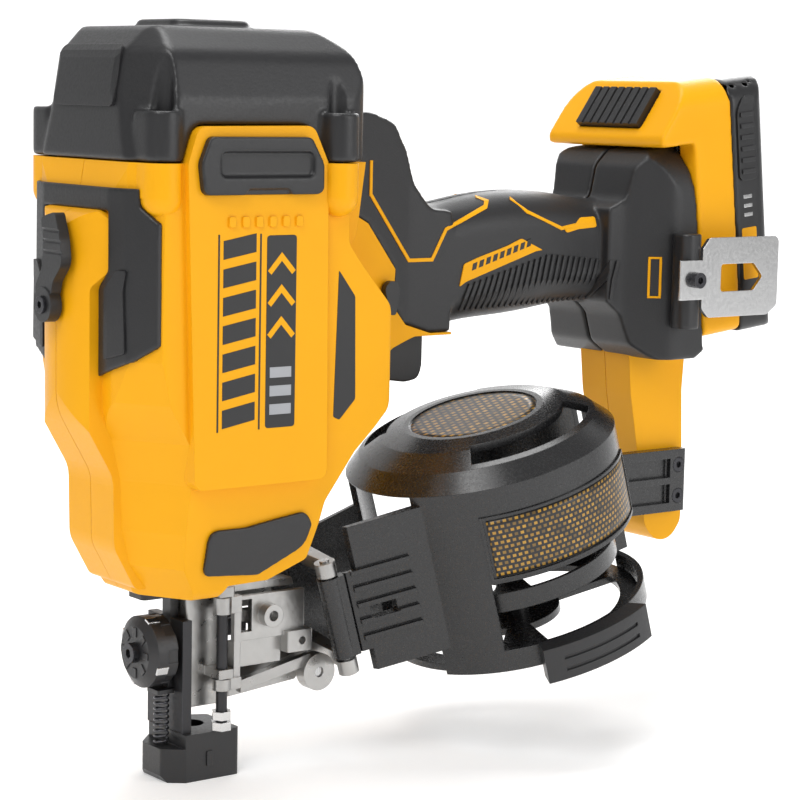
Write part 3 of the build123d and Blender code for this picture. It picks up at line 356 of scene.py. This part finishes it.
def soften(name, nodes, body, slot, voxel, rounds, keep):
    """One piece with moulded, rounded edges that stands for these CAD nodes."""
    points, faces = [], []
    for node in nodes:
        mesh = NODES[node].data
        start = len(points)
        place = NODES[node].matrix_world
        points += [place @ vertex.co for vertex in mesh.vertices]
        faces += [[start + index for index in polygon.vertices] for polygon in mesh.polygons]
    rough = bpy.data.meshes.new(name + "_rough")
    rough.from_pydata(points, [], faces)
    shaped = bpy.data.objects.new(name + "_rough", rough)
    bpy.context.scene.collection.objects.link(shaped)
    remesh = shaped.modifiers.new("remesh", "REMESH")
    remesh.mode = "VOXEL"
    remesh.voxel_size = voxel * MM
    smooth = shaped.modifiers.new("smooth", "SMOOTH")
    smooth.factor = 0.5
    smooth.iterations = rounds
    thin = shaped.modifiers.new("thin", "DECIMATE")
    thin.ratio = keep
    bpy.context.view_layer.update()
    ready = shaped.evaluated_get(bpy.context.evaluated_depsgraph_get())
    mesh = bpy.data.meshes.new_from_object(ready)
    mesh.name = name
    bpy.data.objects.remove(shaped)
    if name in HELD_TRUE:
        hold_true(mesh, points, faces, *HELD_TRUE[name])
    mesh.polygons.foreach_set("use_smooth", [True] * len(mesh.polygons))
    mesh.materials.clear()
    mesh.materials.append(MATERIALS[slot])
    made = bpy.data.objects.new(name, mesh)
    bpy.context.scene.collection.objects.link(made)
    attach(made, body)
    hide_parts(*nodes)
    return made


def caster(pieces, origin_of, way):
    """Function that throws a flat point onto the pieces.

    It gives the spot that it hits and the outward normal there.
    """
    trees = []
    for item in pieces:
        mesh = item.data
        points = [item.matrix_world @ vertex.co for vertex in mesh.vertices]
        polygons = [list(polygon.vertices) for polygon in mesh.polygons]
        trees.append(BVHTree.FromPolygons(points, polygons))
    way = Vector(way)

    def throw(flat):
        start = Vector(origin_of(*flat))
        best = None
        for tree in trees:
            spot, normal, _, distance = tree.ray_cast(start, way)
            if spot is not None and (best is None or distance < best[2]):
                best = (spot, normal, distance)
        if best is None:
            return None
        normal = best[1] if best[1].dot(way) < 0 else -best[1]
        return best[0], normal

    return throw


def sheet_solid(name, flats, triangles, throw, thick, body, material):
    """Thin closed solid over triangles in the flat, laid on a surface."""
    found = [throw(flat) for flat in flats]
    used = [face for face in triangles if all(found[index] for index in face)]
    top, low = {}, {}
    points = []
    for index in sorted({index for face in used for index in face}):
        spot, normal = found[index]
        top[index] = len(points)
        points.append(spot + normal * thick * MM)
        low[index] = len(points)
        points.append(spot - normal * EMBED)
    faces, edges = [], {}
    for a, b, c in used:
        faces.append((top[a], top[b], top[c]))
        faces.append((low[c], low[b], low[a]))
        for first, second in ((a, b), (b, c), (c, a)):
            edges[(first, second)] = edges.get((first, second), 0) + 1
    for first, second in edges:
        if (second, first) not in edges:
            faces.append((top[first], low[first], low[second], top[second]))
    face_out(piece(name, points, faces, body, material, False))


def rounded(corners, radius, steps=4):
    """Outline with its corners rounded."""
    out = []
    count = len(corners)
    for index in range(count):
        here = Vector(corners[index])
        before = Vector(corners[index - 1]) - here
        after = Vector(corners[(index + 1) % count]) - here
        reach = min(radius, 0.45 * before.length, 0.45 * after.length)
        first = here + before.normalized() * reach
        last = here + after.normalized() * reach
        for step in range(steps + 1):
            share = step / steps
            point = first * (1 - share) ** 2 + here * 2 * share * (1 - share) + last * share ** 2
            out.append((point.x, point.y))
    return out


def patch(name, outlines, throw, thick, body, material, spacing=2.0):
    """Raised patches on a surface; each outline is one closed shape in the flat, in mm."""
    flats, triangles = [], []
    for outline in outlines:
        points = [Vector(point) for point in outline]
        rim = len(points)
        edges = [(k, (k + 1) % rim) for k in range(rim)]
        xs = [point.x for point in points]
        ys = [point.y for point in points]
        across = int((max(xs) - min(xs)) / spacing) + 1
        upward = int((max(ys) - min(ys)) / spacing) + 1
        for i in range(1, across):
            for j in range(1, upward):
                points.append(Vector((min(xs) + i * spacing, min(ys) + j * spacing)))
        done = delaunay_2d_cdt(points, edges, [list(range(rim))], 1, 1e-4)
        start = len(flats)
        flats += [tuple(point) for point in done[0]]
        triangles += [tuple(start + index for index in face) for face in done[2]]
    sheet_solid(name, flats, triangles, throw, thick, body, material)


def ribbon(path, width):
    """Outline of a band of even width along a path."""
    points = [Vector(point) for point in path]
    sides = [[], []]
    for index, here in enumerate(points):
        before = (here - points[index - 1]).normalized() if index else None
        after = (points[index + 1] - here).normalized() if index + 1 < len(points) else None
        way = ((before or after) + (after or before)).normalized()
        across = Vector((-way.y, way.x))
        bend = max(0.5, abs(way.dot(after or before)))
        for side, sign in zip(sides, (1, -1)):
            side.append(tuple(here + across * (sign * width / 2 / bend)))
    return sides[0] + sides[1][::-1]


# ---------------------------------------------------------------- moulded forms

def moulded_forms():
    """Grip skins, cap, bumpers, battery, hook boss and trigger with rounded edges."""
    made = {}
    for name, nodes, body, slot, voxel, rounds, keep in (
        ("left_skin", ["left_overmould"], "housing", "grip_black", 0.9, 7, 0.5),
        ("right_skin", ["right_overmould"], "housing", "grip_black", 0.9, 7, 0.5),
        ("cap_shell", ["top_cap"], "housing", "cap_black", 0.9, 12, 0.5),
        ("front_arch", ["front_bumper"], "housing", "bumper_black", 0.6, 5, 0.6),
        ("side_pads", ["side_bumpers"], "housing", "bumper_black", 0.6, 5, 0.6),
        ("low_pads", ["lower_bumpers"], "housing", "bumper_black", 0.5, 3, 0.6),
        ("pack_upper", ["battery_upper_case"], "battery", "battery_yellow", 0.9, 9, 0.5),
        ("pack_lower", ["battery_lower_case"], "battery", "battery_black", 0.9, 7, 0.5),
        ("hook_boss", ["hook_mount"], "housing", "cap_black", 0.6, 8, 0.6),
        ("trigger_form", ["trigger"], "trigger_lever", "trigger_black", 0.5, 5, 0.6),
    ):
        made[name] = soften(name, nodes, body, slot, voxel, rounds, keep)
    return made


FORMS = moulded_forms()
SIDES = (("left", -1), ("right", 1))
DIAL_FACE = -26.3                         # front of the depth dial, in mm
DIAL_Z = 51.0                             # height of the dial's centre
LETTERS = (-20.5, -2.0, 143.5, 217.0)     # side panel's field of bars: x, x, z, z in mm
COLUMN = (0.8, 14.2, 143.7, 216.3)        # side panel's dark column, in the same order
CAP_PANEL = [(-22, 263), (22, 263), (22, 285), (-22, 285)]
ARCH_RIDGE = [(16, 170), (16, 196), (22, 203.5), (27, 203.5), (25.8, 196), (26.8, 173)]
CHEEK_STRIP = [(36.2, 202.1), (44.1, 191.8), (44.9, 151.8), (37.4, 144.1), (34.5, 145.4)]
VENTS = [
    [(66.5, 258.1), (69.5, 257.3), (70.1, 252.2), (67.2, 251.4)],
    [(67.2, 249.0), (70.2, 248.2), (70.3, 243.1), (67.3, 243.9)],
]


def side_throw(pieces, side):
    """Throws (x, z) in mm onto the pieces from the left or the right."""
    return caster(pieces, lambda x, z: (x * MM, side * CAST_FROM, z * MM), (0, -side, 0))


# ---------------------------------------------------------------- springs

def springs():
    """The two sets of springs, as fixed copies on the housing; nothing shortens them as their
    joints move.
    """
    for name, node, joint, anchor, keep in (
        ("driver_springs", "return_springs", "driver_stroke", (0, 0, 0.1038), 0.42),
        ("foot_spring", "trip_spring", "trip_slide", (-0.0164, -0.0045, 0.0348), 0.65),
    ):
        made = bpy.data.objects.new(name, NODES[node].data.copy())
        bpy.context.scene.collection.objects.link(made)
        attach(made, "housing")
        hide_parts(node)
        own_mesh(made)


# ---------------------------------------------------------------- grip trim

STRIPE_FRONT = [(69.5, 243), (69.5, 229.5), (92, 202.3), (104, 202.3),
                (111, 214.6), (134.5, 223.2), (137, 225.6), (134, 227.4)]
STRIPE_REAR = [(149.5, 226.5), (155, 221), (173, 213.8), (181, 215)]
STRIPE_END = [(176, 211.8), (182.5, 213.2), (193.5, 213.9), (193.5, 218.3),
              (184.6, 218.1), (181.5, 215.6), (174, 214.4)]
BADGE = [(118.4, 190.6), (120.6, 200), (127.4, 202.4), (143, 207),
         (150.7, 210), (162.4, 204.9), (158.5, 204.4), (121.6, 192.6)]
RIB_FIRST = 121                           # x of the first rib
RIB_PITCH = 3.2
RIB_TURN = 163                            # x where the line of their tops turns down


def grip_trim():
    """Yellow lines, badge plate and ribs on both sides of the grip."""
    gold = MATERIALS["casing_yellow"]
    for word, side in SIDES:
        throw = side_throw([FORMS[word + "_skin"]], side)
        lines = [ribbon(STRIPE_FRONT, 1.5), ribbon(STRIPE_REAR, 1.5), rounded(STRIPE_END, 1.0)]
        patch(word + "_grip_lines", lines, throw, 0.35, "housing", gold)
        patch(word + "_grip_badge", [rounded(BADGE, 0.8)], throw, 0.5,
              "housing", gold)
        dashes = []
        for step in range(9):
            x = 124.5 + step * 3.6
            z = 197.2 + step * 1.12
            dashes.append([(x, z), (x + 2.2, z + 0.7), (x + 2.8, z + 3.6), (x + 0.6, z + 2.9)])
        patch(word + "_badge_marks", dashes, throw, 0.62,
              "housing", MATERIALS["cap_black"])
        ribs = []
        for step in range(25):
            x = RIB_FIRST + step * RIB_PITCH
            high = 191.5 + (x - RIB_FIRST) * 0.27 if x < RIB_TURN else 203 - (x - RIB_TURN) * 0.1
            low = 180.5 + (x - 115) * 0.03
            ribs.append(ribbon([(x + 3.0, high), (x + 0.8, (high + low) / 2), (x, low)], 1.7))
        patch(word + "_grip_ribs", ribs, throw, 0.9,
              "housing", MATERIALS["grip_black"], 3.0)


# ---------------------------------------------------------------- side graphics

def side_graphics():
    """Plain generic blocks in place of lettering, and small raised marks."""
    ink = finish_material("label_ink", scaled(BLACK, 0.8), 0.35, relief=0.02, edge_highlight=1.2)
    grey = finish_material("label_grey", (0.35, 0.36, 0.38), 0.4, relief=0.02)
    gold = MATERIALS["casing_yellow"]
    field_left, field_right, field_low, field_high = LETTERS
    left, right, foot, head = COLUMN
    blocks = 7
    run = (field_high - field_low) / blocks
    for word, side in SIDES:
        throw = side_throw([NODES[word + "_casing"]], side)
        bars = [ribbon([(x, field_high), (x, field_low)], 0.7) for x in (field_left, field_right)]
        for step in range(blocks):
            low = field_low + step * run + 1.2
            near, far = field_left + 2.0, field_right - 2.0
            bars.append([(near, low), (far, low + 2.6),
                         (far, low + run - 1.0), (near, low + run - 3.6)])
        patch(word + "_panel_bars", bars, throw, 0.12, "housing", ink, 4.0)
        column = rounded([(left, foot), (right, foot), (right, head), (left, head)], 1.5)
        patch(word + "_panel_column", [column], throw, 0.12, "housing", ink, 4.0)
        middle = (left + right) / 2
        chevrons = []
        for step in range(3):
            low = head - 14 - step * 12
            path = [(left + 1.2, low), (middle, low + 6), (right - 1.2, low)]
            chevrons.append(ribbon(path, 2.2))
        patch(word + "_panel_chevrons", chevrons, throw, 0.2, "housing", gold)
        plates = [[(left + 1.8, foot + 5 + k * 7), (right - 1.8, foot + 5 + k * 7),
                   (right - 1.8, foot + 9 + k * 7), (left + 1.8, foot + 9 + k * 7)]
                  for k in range(3)]
        patch(word + "_panel_plates", plates, throw, 0.2, "housing", grey)
        patch(word + "_cheek_strip", [rounded(CHEEK_STRIP, 0.8)], throw, 0.12,
              "housing", ink)
        nubs = [rounded([(x - 1.5, 219.5), (x + 1.5, 219.5),
                         (x + 1.5, 223.5), (x - 1.5, 223.5)], 0.9)
                for x in (-15, -9, -3, 3, 9, 15)]
        patch(word + "_panel_nubs", nubs, throw, 0.9, "housing", gold)


# ---------------------------------------------------------------- canister labels

def print_material(name, scale):
    """Black label with rows of short gold bars of uneven length, which spell nothing."""
    made = Nodes(name)
    brick = made.add("ShaderNodeTexBrick")
    made.join(made.label_place, brick.inputs["Vector"])
    brick.inputs["Color1"].default_value = (0.50, 0.27, 0.03, 1)
    brick.inputs["Color2"].default_value = (0.02, 0.018, 0.016, 1)
    brick.inputs["Mortar"].default_value = (0.014, 0.014, 0.015, 1)
    brick.inputs["Scale"].default_value = scale
    brick.inputs["Mortar Size"].default_value = 0.034
    brick.inputs["Bias"].default_value = -0.25
    brick.inputs["Brick Width"].default_value = 0.15
    brick.inputs["Row Height"].default_value = 0.14
    grain = made.noise(700)
    made.join(made.blend(made.spread(grain, 0, 0.25), brick.outputs["Color"], (0.02, 0.018, 0.016)),
              made.shader.inputs["Base Color"])
    made.join(made.spread(grain, 0.3, 0.42), made.shader.inputs["Roughness"])
    return made.material


def canister_point(radius, angle, height):
    """Point at a radius, an angle in degrees and a height about the canister's axis, in mm."""
    turn = math.radians(angle)
    flat = CANISTER_X * (radius * MM * math.cos(turn))
    flat += Vector((0, radius * MM * math.sin(turn), 0))
    return CANISTER_BASE + flat + CANISTER_Z * (height * MM)


def canister_labels():
    """Round label on the dome and curved label on the wall, both with generic print."""
    round_print = print_material("round_label_print", 3.6)
    wall_print = print_material("wall_label_print", 4.5)
    rings, around = 8, 64
    radius, height = 26.4, 91.55
    points = [canister_point(0, 0, height)]
    for ring in range(1, rings + 1):
        points += [canister_point(radius * ring / rings, 360 * k / around, height)
                   for k in range(around)]
    faces = [(0, 1 + k, 1 + (k + 1) % around) for k in range(around)]
    for ring in range(rings - 1):
        a, b = 1 + ring * around, 1 + (ring + 1) * around
        faces += [(a + k, b + k, b + (k + 1) % around, a + (k + 1) % around)
                  for k in range(around)]
    disc = piece("dome_label", points, faces, "cover", round_print)
    solid = disc.modifiers.new("thickness", "SOLIDIFY")
    solid.thickness = 0.3 * MM
    give_uv(disc, lambda index, point: local_flat(point))
    columns, rows = 48, 8
    points = [canister_point(57.35, -130 + 83 * i / columns, 41 + 24 * j / rows)
              for j in range(rows + 1) for i in range(columns + 1)]
    wide = columns + 1
    faces = [(j * wide + i, j * wide + i + 1, (j + 1) * wide + i + 1, (j + 1) * wide + i)
             for j in range(rows) for i in range(columns)]
    wall = piece("wall_label", points, faces, "cover", wall_print)
    solid = wall.modifiers.new("thickness", "SOLIDIFY")
    solid.thickness = 0.5 * MM
    give_uv(wall, lambda index, point: ((index % wide) / columns * 1.13,
                                        (index // wide) / rows * 0.34))
    borders = ((39.2, 40.4, -131.5, -45.5), (65.6, 66.8, -131.5, -45.5),
               (39.2, 66.8, -132.6, -131.2), (39.2, 66.8, -45.8, -44.4))
    for count, (low, high, start, end) in enumerate(borders):
        arc_bar("label_border_%d" % count, low, high, start, end, 56.6, 57.8)


def local_flat(point):
    """Place of a point on the canister's own flat, in label units of 1/12 m."""
    away = point - CANISTER_BASE
    return away.dot(CANISTER_X) * 12, away.y * 12


def give_uv(made, rule):
    """Writes a UV for each corner from its vertex."""
    mesh = made.data
    layer = mesh.uv_layers.new(name="label")
    for loop in mesh.loops:
        layer.data[loop.index].uv = rule(loop.vertex_index, mesh.vertices[loop.vertex_index].co)


def arc_bar(name, low, high, start, end, inner, outer):
    """Curved bar about the canister's axis."""
    steps = max(1, int(abs(end - start) / 2))
    points = []
    for k in range(steps + 1):
        angle = start + (end - start) * k / steps
        points += [canister_point(radius, angle, height) for radius, height in
                   ((inner, low), (outer, low), (outer, high), (inner, high))]
    faces = [(3, 2, 1, 0), tuple(4 * steps + k for k in range(4))]
    for k in range(steps):
        a = 4 * k
        faces += [(a + s, a + (s + 1) % 4, a + 4 + (s + 1) % 4, a + 4 + s) for s in range(4)]
    face_out(piece(name, points, faces, "cover",
                   MATERIALS["canister_black"], False))


# ---------------------------------------------------------------- battery and cap

def rail_throw(pieces, side):
    """Throws (outward, along) in mm of the rail frame onto the battery's side."""
    def start(out, along):
        spot = RAIL_BASE + RAIL_X * (out * MM) + RAIL_Z * (along * MM)
        return (spot.x, side * CAST_FROM, spot.z)
    return caster(pieces, start, (0, -side, 0))


def battery_trim():
    """Ribbed pads and plain label strips on the battery's sides."""
    for word, side in SIDES:
        throw = rail_throw([FORMS["pack_lower"], FORMS["pack_upper"]], side)
        pad = rounded([(25.5, 66), (36.5, 66), (36.5, 103), (30, 103), (25.5, 97)], 3)
        patch(word + "_pack_pad", [pad], throw, 0.9,
              "battery", MATERIALS["battery_black"])
        ribs = [[(27, z), (35, z), (35, z + 2), (27, z + 2)] for z in (69, 74, 79, 84, 89, 94)]
        patch(word + "_pack_ribs", ribs, throw, 1.5,
              "battery", MATERIALS["trigger_black"])
        strip = rounded([(26, 22), (35, 22), (35, 45), (26, 45)], 1)
        patch(word + "_pack_strip", [strip], throw, 0.15,
              "battery", MATERIALS["battery_yellow"])
        marks = [[(28, z), (33, z), (33, z + 1.6), (28, z + 1.6)] for z in (50, 54, 58)]
        patch(word + "_pack_marks", marks, throw, 0.15,
              "battery", MATERIALS["chrome_plate"])


def slant_throw(pieces, side):
    """Throws (along, z) in mm onto a slanted front corner, level and square to it."""
    across = Vector((-CORNER_SLOPE, side, 0)).normalized()
    along = Vector((1, side * CORNER_SLOPE, 0)).normalized()

    def start(run, z):
        return Vector((CORNER_ROOT, 0, z * MM)) + across * CORNER_FROM + along * (run * MM)
    return caster(pieces, start, -across)


def cap_trim():
    """Panel on the cap, ridges of the front bumper, vents and the ring by the hook."""
    front = caster([FORMS["cap_shell"]], lambda y, z: (-CAST_FROM, y * MM, z * MM), (1, 0, 0))
    patch("cap_front_panel", [rounded(CAP_PANEL, 3.0)], front, 1.3, "housing",
          MATERIALS["cap_black"], 2.5)
    for word, side in SIDES:
        slanted = slant_throw([FORMS["front_arch"]], side)
        patch(word + "_arch_ridge", [rounded(ARCH_RIDGE, 1.2)], slanted, 1.1,
              "housing", MATERIALS["bumper_black"])
        throw = side_throw([NODES[word + "_casing"], FORMS["cap_shell"]], side)
        slits = [rounded(slit, 0.6) for slit in VENTS]
        patch(word + "_vents", slits, throw, 0.3,
              "housing", MATERIALS["casing_yellow"])
        if side < 0:                      # the hook is on the left only
            ring = side_throw([FORMS[word + "_skin"]], side)
            bars = [ribbon(path, 0.9) for path in (
                [(212.6, 184), (217.4, 184)], [(212.6, 201), (217.4, 201)],
                [(213, 184.4), (213, 200.6)], [(217, 184.4), (217, 200.6)])]
            patch("hook_slot_ring", bars, ring, 0.5,
                  "housing", MATERIALS["casing_yellow"])


def dial_trim():
    """Bright inserts round the depth dial, and raised marks on its face."""
    for name, slot, front, back, width, low, high, turns in (
        ("dial_inserts", "chrome_plate", DIAL_FACE + 2.5, DIAL_FACE + 7.5, 1.6, 12.9, 14.5,
         [22.5 + 90 * k for k in range(4)]),
        ("dial_marks", "dial_black", DIAL_FACE, DIAL_FACE + 1.2, 1.3, 6.2, 10.0,
         [45 * k for k in range(8)]),
    ):
        points, faces = [], []
        for turn in turns:
            angle = math.radians(turn)
            way = Vector((0, math.cos(angle), math.sin(angle)))
            over = Vector((0, -math.sin(angle), math.cos(angle)))
            start = len(points)
            for x in (front, back):
                for out, wide in ((low, -width), (high, -width), (high, width), (low, width)):
                    points.append(Vector((x, 0, DIAL_Z)) * MM + (way * out + over * wide) * MM)
            faces += [tuple(start + k for k in face) for face in (
                (3, 2, 1, 0), (4, 5, 6, 7), (0, 1, 5, 4),
                (1, 2, 6, 5), (2, 3, 7, 6), (3, 0, 4, 7))]
        face_out(piece(name, points, faces, "dial", MATERIALS[slot], False))


def foot_trim():
    """Small raised key on each side of the contact foot."""
    for word, side in SIDES:
        throw = side_throw([NODES["contact_foot"]], side)
        key = rounded([(-2.6, 5.5), (0.2, 5.5), (0.2, 11.5), (-2.6, 11.5)], 0.5)
        patch(word + "_foot_key", [key], throw, 0.6,
              "contact_trip", MATERIALS["cap_black"])


springs()
grip_trim()
side_graphics()
canister_labels()
battery_trim()
cap_trim()
dial_trim()
foot_trim()
